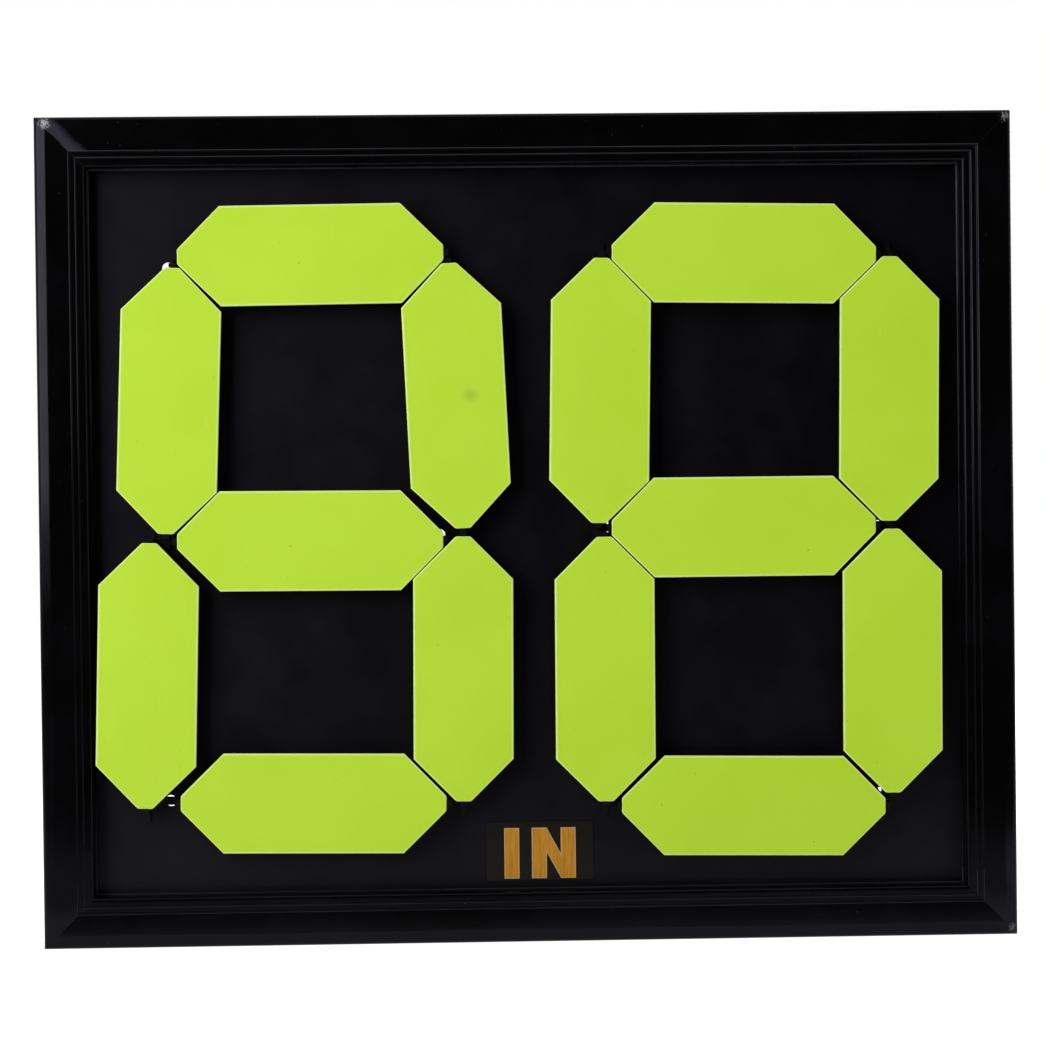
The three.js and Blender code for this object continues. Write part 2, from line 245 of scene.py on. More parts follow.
def lacquered_moulding():
    """Picture-frame moulding under gloss black lacquer: nearly black, with paler lines along its steps and
    where it meets the panel that are painted highlights, a faint orange-peel skin, a few white specks of
    dust, a painted reflection on a patch beside one mitre, fine pale scuffs at its knocked corners, and
    outer faces that hands have made satin."""
    material, tree, place = start_material("lacquered_moulding")
    bloom = patches(tree, place, 40, (0.45, 0.75), detail=4.0, rough=0.6)
    colour = lay_over(tree, linear("#040404"), linear("#09080b"), bloom)
    # Painted reflection: a pale patch beside the top rail's left mitre, where light reflects in the lacquer
    colour = lay_over(tree, colour, linear("#2d2c35"), mitre_painted_reflection(tree, place))
    # Painted highlight: paler lines along the steps' arrises, the foot and the mitres' ends, standing in for
    # glints of light
    colour = lay_over(tree, colour, linear("#3b3a3f"), painted_step_highlights(tree, place))
    speck = patches(tree, place, 1.1, (0.80, 0.83), detail=1.0)
    colour = lay_over(tree, colour, linear("#77757a"), speck, 0.3)
    scuffs = corner_scuffs(tree, place)
    colour = lay_over(tree, colour, linear("#c9c6cc"), scuffs)
    gloss = patches(tree, place, 25, (0.35, 0.7), (0.10, 0.18), 3.0, 0.6)
    matt = add(tree, "ShaderNodeMath", {0: scuffs, 1: SCUFF_ROUGH}, operation="MULTIPLY").outputs[0]
    handled = add(tree, "ShaderNodeAttribute", attribute_name="handled").outputs["Fac"]
    satin = add(tree, "ShaderNodeMath", {
        0: handled, 1: patches(tree, place, 30, (0.3, 0.7), (0.46, 0.58), 3.0, 0.6),
    }, operation="MULTIPLY").outputs[0]
    matt = add(tree, "ShaderNodeMath", {0: matt, 1: satin}, operation="MAXIMUM").outputs[0]
    rough = add(tree, "ShaderNodeMath", {0: gloss, 1: matt}, operation="MAXIMUM").outputs[0]
    return close_material(material, {
        "Base Color": colour, "Roughness": rough,
        "Specular IOR Level": 0.12, "Specular Tint": linear("#e6e4ff"),
        "Normal": grain(tree, place, 4.0, 0.01),
    })


def painted_step_highlights(tree, place):
    """How strong the painted highlight along the steps is, standing in for glints of light on the arrises:
    strongest on the upper half, some on the bottom rail, and hardly any between."""
    height = add(tree, "ShaderNodeSeparateXYZ", {0: place}).outputs["Z"]
    highlight_by_height = add(tree, "ShaderNodeMapRange", {
        0: height, 1: HIGHLIGHT_FROM, 2: HIGHLIGHT_TO, 3: LEAST_HIGHLIGHT, 4: 1.0,
    }).outputs[0]
    low_rail = add(tree, "ShaderNodeMath", {0: height, 1: FOOT_RAIL_TOP}, operation="LESS_THAN").outputs[0]
    foot_rail_highlight = add(tree, "ShaderNodeMath", {0: low_rail, 1: FOOT_RAIL_HIGHLIGHT}, operation="MULTIPLY").outputs[0]
    wear_and_highlight = add(tree, "ShaderNodeMath", {0: highlight_by_height, 1: foot_rail_highlight}, operation="MAXIMUM").outputs[0]
    rim = add(tree, "ShaderNodeAttribute", attribute_name="rim").outputs["Fac"]
    uneven = patches(tree, place, 12, (0.3, 0.7), (0.55, 1.0), 3.0, 0.6, (6, 1, 6))
    painted_highlight = add(tree, "ShaderNodeMath", {0: rim, 1: uneven}, operation="MULTIPLY").outputs[0]
    return add(tree, "ShaderNodeMath", {0: painted_highlight, 1: wear_and_highlight}, operation="MULTIPLY").outputs[0]


def mitre_painted_reflection(tree, place):
    """1 on a soft patch of painted reflection on the top rail's flat band, along its left mitre on the IN
    side, 0 elsewhere.
    The distance past the mitre is the place's distance from the left side less that from the top."""
    low, high = CAD_BOX
    x, y, z = add(tree, "ShaderNodeSeparateXYZ", {0: place}).outputs
    across = add(tree, "ShaderNodeMath", {0: x, 1: z}, operation="ADD").outputs[0]
    past = add(tree, "ShaderNodeMath", {0: across, 1: low[0] + high[2]}, operation="SUBTRACT").outputs[0]
    ragged = patches(tree, place, 7, (0.3, 0.7), (-0.9, 0.9), 2.0, 0.5)
    past = add(tree, "ShaderNodeMath", {0: past, 1: 1 / MM, 2: ragged}, operation="MULTIPLY_ADD").outputs[0]
    begun = add(tree, "ShaderNodeMath", {0: past, 1: REFLECTION_START}, operation="GREATER_THAN").outputs[0]
    left = add(tree, "ShaderNodeMapRange", {0: past, 1: REFLECTION_FULL, 2: REFLECTION_END, 3: 1.0, 4: 0.0}).outputs[0]
    patch = add(tree, "ShaderNodeMath", {0: begun, 1: left}, operation="MULTIPLY").outputs[0]
    front = add(tree, "ShaderNodeMath", {0: y, 1: 0.0}, operation="LESS_THAN").outputs[0]
    band_level = high[2] - BAND_END * MM
    band = add(tree, "ShaderNodeMath", {0: z, 1: band_level}, operation="GREATER_THAN").outputs[0]
    there = add(tree, "ShaderNodeMath", {0: front, 1: band}, operation="MULTIPLY").outputs[0]
    return add(tree, "ShaderNodeMath", {0: patch, 1: there}, operation="MULTIPLY").outputs[0]


def corner_scuffs(tree, place):
    """How pale a place is with scuffs: ragged spots close to the board's outer corners, on both sides of
    the board, broken into small chips, and 0 elsewhere."""
    low, high = CAD_BOX
    flat = add(tree, "ShaderNodeVectorMath", {0: place, 1: (1, 0, 1)}, operation="MULTIPLY").outputs[0]
    ragged = patches(tree, place, 0.8, (0.3, 0.7), (-1.5, 1.5), 3.0, 0.6)
    chips = patches(tree, place, 0.6, (0.38, 0.56), (0.15, 1.0), 2.0, 0.5, (1, 1, 2))
    scuffs = 0.0
    for right, up, side, end, radius, pale in KNOCKS:
        corner = (high[0] if right > 0 else low[0], 0.0, high[2] if up > 0 else low[2])
        knock = (corner[0] - right * side * MM, 0.0, corner[2] - up * end * MM)
        away = add(tree, "ShaderNodeVectorMath", {0: flat, 1: knock}, operation="DISTANCE").outputs["Value"]
        away = add(tree, "ShaderNodeMath", {
            0: away, 1: 1 / MM, 2: ragged,
        }, operation="MULTIPLY_ADD").outputs[0]
        spot = add(tree, "ShaderNodeMapRange", {
            0: away, 1: radius - SCUFF_SOFT, 2: radius + SCUFF_SOFT, 3: pale, 4: 0.0,
        }).outputs[0]
        scuffs = add(tree, "ShaderNodeMath", {0: spot, 1: scuffs}, operation="MAXIMUM").outputs[0]
    return add(tree, "ShaderNodeMath", {0: scuffs, 1: chips}, operation="MULTIPLY").outputs[0]


def satin_sheet():
    """Black rigid PVC sheet, satin: a fine calendered grain, and grease smudges that shine a little more."""
    material, tree, place = start_material("black_pvc_sheet")
    smudge = patches(tree, place, 55, (0.42, 0.72), detail=4.0, rough=0.65)
    return close_material(material, {
        "Base Color": lay_over(tree, linear("#020203"), linear("#060508"), smudge),
        "Roughness": patches(tree, place, 30, (0.35, 0.7), (0.40, 0.52), 3.0, 0.6),
        "Specular IOR Level": 0.2, "Specular Tint": linear("#e6e4ff"),
        "Normal": grain(tree, place, 0.8, 0.02),
    })


def coloured_sheet(name, faces, edge, speck, smudge):
    """Coloured foamed PVC sheet: an even satin face, paler sawn edges where the cut scatters light, partly
    also a painted highlight along the rounded rims, a few dark specks, fine scratches from handling and one
    thumb mark."""
    material, tree, place = start_material(name)
    cloud = patches(tree, place, 60, (0.3, 0.7), detail=3.0)
    tone = lay_over(tree, linear(faces[0]), linear(faces[1]), cloud)
    rim = add(tree, "ShaderNodeAttribute", attribute_name="rim").outputs["Fac"]
    wear_and_highlight = patches(tree, place, 6, (0.2, 0.6), (0.65, 1.0), 3.0, 0.6)
    sawn_edge_and_highlight = add(tree, "ShaderNodeMath", {0: rim, 1: wear_and_highlight}, operation="MULTIPLY").outputs[0]
    # Paler sawn edges, partly a painted highlight along the flaps' rims
    tone = lay_over(tree, tone, linear(edge), sawn_edge_and_highlight)
    tone = lay_over(tree, tone, linear(speck), patches(tree, place, 2.2, (0.80, 0.84), detail=1.0), 0.5)
    scratch = patches(tree, place, 1.4, (0.74, 0.78), stretch=(1, 1, 14))
    tone = lay_over(tree, tone, linear(edge), scratch, 0.18)
    away = add(tree, "ShaderNodeVectorMath", {
        0: place, 1: SMUDGE_PLACE,
    }, operation="DISTANCE").outputs["Value"]
    ragged = patches(tree, place, 5, (0.3, 0.7), (0.0, 2.0), 3.0, 0.6)
    away = add(tree, "ShaderNodeMath", {0: away, 1: 1 / MM, 2: ragged}, operation="MULTIPLY_ADD").outputs[0]
    thumb = add(tree, "ShaderNodeMapRange", {0: away, 1: 1.0, 2: 5.5, 3: 1.0, 4: 0.0}).outputs[0]
    return close_material(material, {
        "Base Color": lay_over(tree, tone, linear(smudge), thumb, 0.55),
        "Roughness": patches(tree, place, 20, (0.3, 0.7), (0.38, 0.55), 3.0, 0.6),
        "Specular IOR Level": 0.3,
        "Normal": grain(tree, place, 1.2, 0.015, 0.4),
    })


def black_backing():
    """Black foamed PVC on the inner side of each flap: matt, with paler grey sawn edges."""
    material, tree, place = start_material("black_pvc_backing")
    cloud = patches(tree, place, 40, (0.35, 0.7), detail=3.0, rough=0.6)
    tone = lay_over(tree, linear("#0d0d0e"), linear("#151517"), cloud)
    rim = add(tree, "ShaderNodeAttribute", attribute_name="rim").outputs["Fac"]
    return close_material(material, {
        "Base Color": lay_over(tree, tone, linear("#2a2a2c"), rim, 0.5),
        "Roughness": 0.6, "Specular IOR Level": 0.3,
        "Normal": grain(tree, place, 1.0, 0.015, 0.4),
    })


def blackened_steel():
    """Chemically blackened steel posts and wire, oily satin with bare grey rubs."""
    material, tree, place = start_material("blackened_steel")
    rub = patches(tree, place, 2.5, (0.6, 0.72), detail=3.0, rough=0.6)
    return close_material(material, {
        "Base Color": lay_over(tree, linear("#030303"), linear("#0d0d0e"), rub),
        "Roughness": 0.5, "Specular IOR Level": 0.15,
        "Normal": grain(tree, place, 0.6, 0.01),
    })


def zinc_plated_steel():
    """Bright zinc-plated nail heads with a drawn, slightly spangled skin."""
    material, tree, place = start_material("zinc_plated_steel")
    spangle = patches(tree, place, 0.9, (0.35, 0.7), detail=3.0, rough=0.6)
    return close_material(material, {
        "Base Color": lay_over(tree, linear("#8d9094"), linear("#b9bcc0"), spangle),
        "Roughness": 0.34, "Metallic": 1.0,
        "Normal": grain(tree, place, 0.5, 0.01),
    })


def label_film():
    """Black vinyl label, a little warmer and glossier than the sheet behind it."""
    material, tree, place = start_material("black_vinyl_label")
    cloud = patches(tree, place, 9, (0.35, 0.7), detail=3.0, rough=0.6)
    return close_material(material, {
        "Base Color": lay_over(tree, linear("#0a0704"), linear("#110b07"), cloud),
        "Roughness": 0.4, "Specular IOR Level": 0.2,
        "Normal": grain(tree, place, 2.0, 0.01, 0.4),
    })


def gold_foil():
    """Dull gold transfer foil: brushed grain up the letters, and paler rims where the foil was cut."""
    material, tree, place = start_material("gold_transfer_foil")
    brushed = patches(tree, place, 0.7, (0.3, 0.7), rough=0.6, stretch=(1, 1, 18))
    tone = lay_over(tree, linear("#a96e0c"), linear("#c68b18"), brushed)
    rim = add(tree, "ShaderNodeAttribute", attribute_name="rim").outputs["Fac"]
    return close_material(material, {
        "Base Color": lay_over(tree, tone, linear("#c9a67a"), rim, 0.8),
        "Roughness": 0.42, "Metallic": 0.2,
        "Normal": grain(tree, place, 1.0, 0.01),
    })


MATERIALS = {
    "gloss_black_frame": lacquered_moulding(),
    "black_panel": satin_sheet(),
    "green_flap": coloured_sheet("green_pvc_sheet", ("#b2d72a", "#b7dc32"), "#d3e98a", "#6d7f2e", "#93a83a"),
    "red_flap": coloured_sheet("red_pvc_sheet", ("#c41f1d", "#cc2623"), "#ee9a8c", "#6a1411", "#9c2a26"),
    "black_backing": black_backing(),
    "black_pivots": blackened_steel(),
    "nail_steel": zinc_plated_steel(),
    "black_label": label_film(),
    "gold_foil": gold_foil(),
}


def mark(mesh, name, values):
    """An attribute with a number for each point of the mesh."""
    layer = mesh.attributes.new(name, "FLOAT", "POINT")
    layer.data.foreach_set("value", np.asarray(values, dtype=np.float32))


def build_piece(name, points, faces, slot, body, replaced, material=None, rim=None, smooth=True):
    """A mesh from points in metres and faces, finished, riding on its body and standing for its node."""
    mesh = bpy.data.meshes.new(name)
    mesh.from_pydata(np.asarray(points).tolist(), [], [list(face) for face in faces])
    mesh.polygons.foreach_set("use_smooth", [smooth and len(face) == 4 for face in faces])
    if rim is not None:
        mark(mesh, "rim", rim)
    mesh.materials.append(material or MATERIALS[slot])
    mesh.update()
    piece = bpy.data.objects.new(name, mesh)
    bpy.context.scene.collection.objects.link(piece)
    if smooth:
        weighted = piece.modifiers.new("even_faces", "WEIGHTED_NORMAL")
        weighted.mode = "FACE_AREA"
        weighted.keep_sharp = True
    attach(piece, body)
    if replaced:
        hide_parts(*replaced)
    return piece


def tube_faces(rings, around):
    """Quads between rings of points that close round, and one flat cap at each end."""
    ring, step = np.meshgrid(np.arange(rings - 1), np.arange(around), indexing="ij")
    nxt = (step + 1) % around
    quads = np.stack([
        ring * around + step, ring * around + nxt,
        (ring + 1) * around + nxt, (ring + 1) * around + step,
    ], axis=-1).reshape(-1, 4).tolist()
    first = list(range(around))[::-1]
    last = list(range((rings - 1) * around, rings * around))
    return quads + [first, last]


def facing_out(points, faces):
    """The faces, all turned round if the solid they close has a negative volume. The volume is a sixth
    of the sum, over the faces' triangles, of one corner times the cross product of the other two."""
    triangles = np.array([(face[0], b, c) for face in faces for b, c in zip(face[1:-1], face[2:])])
    a, b, c = np.moveaxis(points[triangles], 1, 0)
    volume = np.sum(a * np.cross(b, c)) / 6
    return faces if volume > 0 else [face[::-1] for face in faces]


def inset_outline(outline, distance):
    """A closed outline moved inward by distance: each corner goes along its mitre line."""
    before = outline - np.roll(outline, 1, axis=0)
    after = np.roll(outline, -1, axis=0) - outline
    before /= np.linalg.norm(before, axis=1, keepdims=True)
    after /= np.linalg.norm(after, axis=1, keepdims=True)
    normal_before = np.stack([-before[:, 1], before[:, 0]], axis=1)
    normal_after = np.stack([-after[:, 1], after[:, 0]], axis=1)
    mitre = normal_before + normal_after
    mitre /= (1 + np.sum(normal_before * normal_after, axis=1, keepdims=True))
    return outline + distance * mitre


def rounded_profile(radius, steps=4):
    """Pairs of inset and rise for a quarter round of the radius, from its foot on the side to its top."""
    turn = np.linspace(0, math.pi / 2, steps + 1)
    return radius * (1 - np.cos(turn)), radius * np.sin(turn)


def plate_rings(outline, thickness, radius, rim):
    """Rings of a plate: the outline at its back, its side, a quarter round, and rim further in on its
    face. Gives points as (across, up, rise), and 1 for each point of the rim or side, 0 for the face."""
    insets, rises = rounded_profile(radius)
    insets = np.concatenate([[0.0], insets, [insets[-1] + rim]])
    rises = np.concatenate([[0.0], thickness - radius + rises, [thickness]])
    rims = np.concatenate([np.ones(len(insets) - 1), [0.0]])
    rings = [np.column_stack([inset_outline(outline, i), np.full(len(outline), r)])
             for i, r in zip(insets, rises)]
    return np.concatenate(rings), np.repeat(rims, len(outline)), len(rings)


# Flaps

def flap_measures(joint):
    """Centre and directions of a flap from its joint, and its sizes from its own corners."""
    node = joint["child"].removesuffix("_flap")
    centre = np.array(joint["pos_m"])
    along = np.array(joint["axis"], dtype=float)
    along /= np.linalg.norm(along)
    out = np.array([0.0, -1.0 if node.startswith("in_") else 1.0, 0.0])
    across = np.cross(out, along)
    corners = np.array([vertex.co for vertex in frame["nodes"][node].data.vertices]) - centre
    length = 2 * np.abs(corners @ along).max()
    width = 2 * np.abs(corners @ across).max()
    thickness = 2 * np.abs(corners @ out).max()
    at_end = np.abs(corners @ along) > length / 2 - AT_END * MM
    end_width = 2 * np.abs(corners[at_end] @ across).max()
    return node, centre, along, across, out, length, width, thickness, end_width


def layer_section(half, height, radius, bore):
    """Half section of one layer of a flap from its groove to its edge, then back over its face.
    The inner face lies on the middle plane with a half-round groove for the wire in its middle."""
    turn = np.linspace(0, math.pi / 2, 7)
    groove = np.column_stack([bore * np.sin(turn), bore * np.cos(turn)])
    insets, rises = rounded_profile(radius)
    side = np.column_stack([half - insets, height - radius + rises])
    inner = np.array([[half - 2 * radius, 0.0], [half, 0.0]])
    outer = np.array([[half - 2 * radius, height], [0.0, height]])
    section = np.concatenate([groove, inner, side, outer])
    rim = np.concatenate([np.zeros(len(groove) + 1), np.ones(1 + len(side)), np.zeros(2)])
    return section, rim


def flap_layer(measures, name, slot, material, outward, replaced):
    """One layer of a flap, a section carried along the flap's length. Its half width is full between
    the cut corners and falls at 45 degrees to the end; the last half millimetre rounds over."""
    node, centre, along, across, out, length, width, thickness, end_width = measures
    radius = FLAP_ROUND * MM
    chamfer = (width - end_width) / 2
    reach = length / 2
    turn = np.linspace(0, math.pi / 2, 4)
    ends = reach - radius + radius * np.sin(turn)
    insets = radius * (1 - np.cos(turn))
    stations = [(reach - chamfer, width / 2, 0.0)]
    for station, inset in zip(ends, insets):
        stations.append((station, width / 2 - (station - (reach - chamfer)), inset))
    stations = [(-s, half, inset) for s, half, inset in stations[::-1]] + stations
    points = []
    rims = []
    for station, half, inset in stations:
        section, rim = layer_section(half - inset, thickness / 2 - inset, radius, BORE_DIAMETER / 2 * MM)
        mirrored = section[::-1] * [-1, 1]
        ring = np.concatenate([section, mirrored[1:-1]])
        end_rim = 1.0 if inset > 0 else 0.0
        rims.append(np.maximum(np.concatenate([rim, rim[::-1][1:-1]]), end_rim))
        lift = ring[:, 1] + FLAP_SEAM * MM / 2
        points.append(centre + station * along + ring[:, :1] * across + lift[:, None] * out * outward)
    around = len(points[0])
    points = np.concatenate(points)
    faces = facing_out(points - centre, tube_faces(len(stations), around))
    build_piece(name, points, faces, slot, f"{node}_flap", replaced, material, np.concatenate(rims))


def make_flaps():
    """Two layers for each flap, its coloured sheet towards the reader and its black one behind."""
    for joint in frame["record"]["behaviour"]["joints"]:
        measures = flap_measures(joint)
        node = measures[0]
        slot = "green_flap" if node.startswith("in_") else "red_flap"
        flap_layer(measures, f"{node}_colour_sheet", slot, MATERIALS[slot], 1, [node])
        flap_layer(measures, f"{node}_black_sheet", slot, MATERIALS["black_backing"], -1, [])


# Rails

def quarter(centre, radius, start, steps=5):
    """Points on a quarter circle from the angle start, in degrees, falling by 90."""
    turn = np.radians(np.linspace(start, start - 90, steps + 1))
    return centre + radius * np.column_stack([np.cos(turn), np.sin(turn)])


def rail_profile(width, depth):
    """Closed section of a rail, as distance in from the outer face and depth towards the reader, and 1
    for each point on an arris or at the foot, 0 elsewhere. A round outer edge, a sloping outer strip,
    a band that falls a little, two steps with a small round above and a hollow below, a rolled lip, and
    a small hollow where it meets the panel. The same behind, with the panel's groove between."""
    edge = quarter((EDGE_ROUND, depth - STRIP_FALL - EDGE_ROUND), EDGE_ROUND, 180)
    strip = np.array([(OUTER_STRIP + past, depth - below) for past, below in STRIP_TURN])
    over_band, under_band = step_profile(BAND_END, depth - BAND_FALL, FIRST_STEP)
    over_bead, under_bead = step_profile(BEAD_END, depth - BAND_FALL - FIRST_STEP, SECOND_STEP)
    lip_top = depth - BAND_FALL - FIRST_STEP - SECOND_STEP
    lip = quarter((width - LIP_ROUND, lip_top - LIP_ROUND), LIP_ROUND, 90)
    seat = PANEL_HALF + GROOVE_GAP
    foot = quarter((width + FOOT_HOLLOW, seat + FOOT_HOLLOW), FOOT_HOLLOW, 270)[::-1]
    groove = np.array([(width - GROOVE_DEPTH, seat)])
    # 1 marks the pieces that take the painted highlight
    pieces = [(edge, 0), (strip, 0), (over_band, 1), (under_band, 0), (over_bead, 1), (under_bead, 0),
              (lip, 0), (foot, 1), (groove, 0)]
    front = np.concatenate([points for points, _ in pieces])
    rim = np.concatenate([
        painted_highlight * np.sin(np.linspace(0, math.pi, len(points))) ** 0.5 for points, painted_highlight in pieces
    ])
    return np.concatenate([front, front[::-1] * [1, -1]]), np.concatenate([rim, rim[::-1]])


def step_profile(start, top, drop):
    """A small step down: a round arris above, and a hollow corner below."""
    hollow = drop - ARRIS_ROUND
    over = quarter((start - ARRIS_ROUND, top - ARRIS_ROUND), ARRIS_ROUND, 90)
    under = quarter((start + hollow, top - drop + hollow), hollow, 270)
    return over, under[-2::-1]


def make_rail(direction):
    """A profile carried along the rail. Each end is cut at 45 degrees, so a point further in from the
    outer face starts and ends that much further from the corner. The last ring lies a little lower, so
    that a fine groove shows along the mitre. Points on the outer face are marked as handled."""
    node = f"rail_{direction}"
    low, high = (np.array(corner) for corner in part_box(node))
    board_low, board_high = (np.array(corner) for corner in CAD_BOX)
    middle = (board_low + board_high) / 2
    level = direction in ("top", "bottom")
    length_axis = 0 if level else 2
    inward_axis = 2 if level else 0
    sign = 1.0 if direction in ("top", "right") else -1.0
    width = (high - low)[inward_axis] / MM
    depth = (board_high - board_low)[1] / 2 / MM
    profile, rim = rail_profile(width, depth)
    eased = np.column_stack([
        np.maximum(profile[:, 0], MITRE_EASE),
        np.sign(profile[:, 1]) * np.maximum(np.abs(profile[:, 1]) - MITRE_EASE, PANEL_HALF + GROOVE_GAP),
    ])
    half_length = (board_high - board_low)[length_axis] / 2
    outer = sign * (board_high - board_low)[inward_axis] / 2
    # The mitres' end rings take the painted highlight at least at this level
    painted_highlight = np.maximum(rim, MITRE_HIGHLIGHT)
    rings = []
    for share, section, back in [(-1, eased, 0), (-1, profile, MITRE_EASE), (0, profile, 0),
                                 (1, profile, MITRE_EASE), (1, eased, 0)]:
        ring = np.tile(middle, (len(profile), 1))
        ring[:, length_axis] += share * (half_length - (profile[:, 0] + back + MITRE_GAP / 2) * MM)
        ring[:, inward_axis] += outer - sign * section[:, 0] * MM
        ring[:, 1] += section[:, 1] * MM
        rings.append(ring)
    points = np.concatenate(rings)
    faces = facing_out(points - middle, tube_faces(len(rings), len(profile)))
    rail = build_piece(f"{node}_moulding", points, faces, "gloss_black_frame", "board", [node],
                       rim=np.concatenate([painted_highlight, rim, rim, rim, painted_highlight]))
    drill(rail, [nail for nail in NAILS if f"_{direction}_" in nail])
    places = np.empty(3 * len(rail.data.vertices), dtype=np.float32)
    rail.data.vertices.foreach_get("co", places)
    inset = np.abs(places.reshape(-1, 3)[:, inward_axis] - (middle[inward_axis] + outer))
    mark(rail.data, "handled", inset < 0.5 * MITRE_EASE * MM)


# Nails

def turned(profile, node):
    """A profile turned about a nail's own line: each point is a radius from the line and a depth in from
    the side rail's outer face, in millimetres, and gives one ring."""
    low, high = (np.array(corner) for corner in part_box(node))
    from_right = "_right_" in node
    radius, depth = np.array(profile, dtype=float).T[:, :, None] * MM
    angle = np.linspace(0, 2 * math.pi, NAIL_SIDES, endpoint=False)
    points = np.stack(np.broadcast_arrays(
        high[0] - depth if from_right else low[0] + depth,
        (low[1] + high[1]) / 2 + radius * np.cos(angle),
        (low[2] + high[2]) / 2 + radius * np.sin(angle),
    ), axis=-1).reshape(-1, 3)
    return points, facing_out(points - points.mean(axis=0), tube_faces(len(profile), NAIL_SIDES))


def nail_sizes(node):
    """The radius of a nail's head and its whole length, in millimetres."""
    low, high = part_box(node)
    return (high.y - low.y) / 2 / MM, (high.x - low.x) / MM


def make_nail(node):
    """A wire nail: a head a little domed, its middle level with the lacquer, a shank and a point."""
    head, length = nail_sizes(node)
    shares = np.linspace(NAIL_DOME_START, 1.0, NAIL_DOME_RINGS)
    dome = [(head * share, NAIL_DOME * share ** 2) for share in shares]
    shank = [(NAIL_SHANK, NAIL_HEAD), (NAIL_SHANK, length - NAIL_POINT), (NAIL_TIP, length)]
    profile = [*dome, (head, NAIL_HEAD), *shank]
    points, faces = turned(profile, node)
    build_piece(f"{node}_turned", points, faces, "nail_steel", "board", [node])


def drill(rail, nails):
    """Cuts the nails' holes out of a rail, wider than the nail by a gap all round. The cut leaves some
    open edges in the mitres' hidden faces, and a disc and a tube at one hole of the top and bottom rail."""
    even_faces = rail.modifiers["even_faces"]
    even_faces.show_viewport = False
    cutters = []
    for node in nails:
        head, length = nail_sizes(node)
        wide = head + HOLE_GAP
        narrow = NAIL_SHANK + HOLE_GAP
        under = NAIL_HEAD + HOLE_GAP
        points, faces = turned([(wide, -HOLE_MOUTH), (wide, under), (narrow, under), (narrow, length)], node)
        mesh = bpy.data.meshes.new("drill")
        mesh.from_pydata(points.tolist(), [], faces)
        cutter = bpy.data.objects.new("drill", mesh)
        bpy.context.scene.collection.objects.link(cutter)
        cut = rail.modifiers.new("hole", "BOOLEAN")
        cut.object = cutter
        cut.solver = "EXACT"
        cutters.append(cutter)
    evaluated = rail.evaluated_get(bpy.context.evaluated_depsgraph_get())
    rail.data = bpy.data.meshes.new_from_object(evaluated)
    for cutter in cutters:
        bpy.data.objects.remove(cutter)
    for cut in [modifier for modifier in rail.modifiers if modifier.type == "BOOLEAN"]:
        rail.modifiers.remove(cut)
    even_faces.show_viewport = True


# Copies of CAD pieces with their arrises eased

def eased_copy(node, slot, ease_mm):
    """The node's own solid, its loose triangles merged, with every sharp arris rounded a little."""
    mesh = frame["nodes"][node].data.copy()
    solid = bmesh.new()
    solid.from_mesh(mesh)
    bmesh.ops.remove_doubles(solid, verts=solid.verts, dist=SAME_POINT * MM)
    flat = math.radians(FLAT_WITHIN)
    bmesh.ops.dissolve_limit(solid, angle_limit=flat, verts=solid.verts, edges=solid.edges)
    solid.to_mesh(mesh)
    solid.free()
    mesh.materials.clear()
    mesh.materials.append(MATERIALS[slot])
    piece = bpy.data.objects.new(f"{node}_eased", mesh)
    bpy.context.scene.collection.objects.link(piece)
    bevel = piece.modifiers.new("ease", "BEVEL")
    bevel.width = ease_mm * MM
    bevel.segments = 2
    bevel.limit_method = "ANGLE"
    bevel.angle_limit = math.radians(ARRIS_OVER)
    bevel.use_clamp_overlap = True
    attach(piece, "board")
    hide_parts(node)


# Labels

def rounded_rectangle(low, high, radius, steps=5):
    """Corners in order, each a quarter circle of the radius."""
    turn = np.linspace(0, math.pi / 2, steps + 1)
    square = np.array([(high[0], high[1]), (low[0], high[1]), (low[0], low[1]), (high[0], low[1])])
    corners = []
    for index, corner in enumerate(square):
        centre = corner - radius * np.sign(corner - (low + high) / 2)
        angle = turn + index * math.pi / 2
        corners.append(centre + radius * np.column_stack([np.cos(angle), np.sin(angle)]))
    return np.concatenate(corners)


def stand_plate(node, name, points, faces, slot, rim):
    """A plate drawn flat, as (across, up, rise), stood up on the panel to face its reader."""
    low, high = (np.array(corner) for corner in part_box(node))
    inner, outward = (high[1], -1.0) if node.startswith("in_") else (low[1], 1.0)
    placed = np.column_stack([points[:, 0], inner + outward * points[:, 2], points[:, 1]])
    faces = facing_out(placed - placed.mean(axis=0), faces)
    build_piece(name, placed, faces, slot, "board", [node], None, rim, smooth=False)


def make_label(side):
    """A thin film with round corners."""
    node = f"{side}_label"
    low, high = (np.array(corner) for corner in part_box(node))
    outline = rounded_rectangle(low[[0, 2]], high[[0, 2]], LABEL_CORNER * MM)
    points, rim, rings = plate_rings(outline, high[1] - low[1], LABEL_ROUND * MM, LABEL_RIM * MM)
    stand_plate(node, f"{node}_film", points, tube_faces(rings, len(outline)), "black_label", rim)


def letter_outline(letter, w, h):
    """Corners of a block letter in millimetres, anticlockwise from its lower left."""
    s, c, slant = LETTER_STROKE, LETTER_CUT, LETTER_SLANT
    return np.array({
        "i": [(0, 0), (w, 0), (w, h), (0, h)],
        "n": [(0, 0), (s, 0), (s, h - slant), (w - s, 0), (w, 0),
              (w, h), (w - s, h), (w - s, slant), (s, h), (0, h)],
        "o": [(c, 0), (w - c, 0), (w, c), (w, h - c), (w - c, h), (c, h), (0, h - c), (0, c)],
        "u": [(c, 0), (w - c, 0), (w, c), (w, h), (w - s, h), (w - s, s), (s, s), (s, h), (0, h), (0, c)],
        "t": [((w - s) / 2, 0), ((w + s) / 2, 0), ((w + s) / 2, h - s), (w, h - s),
              (w, h), (0, h), (0, h - s), ((w - s) / 2, h - s)],
    }[letter], dtype=float)


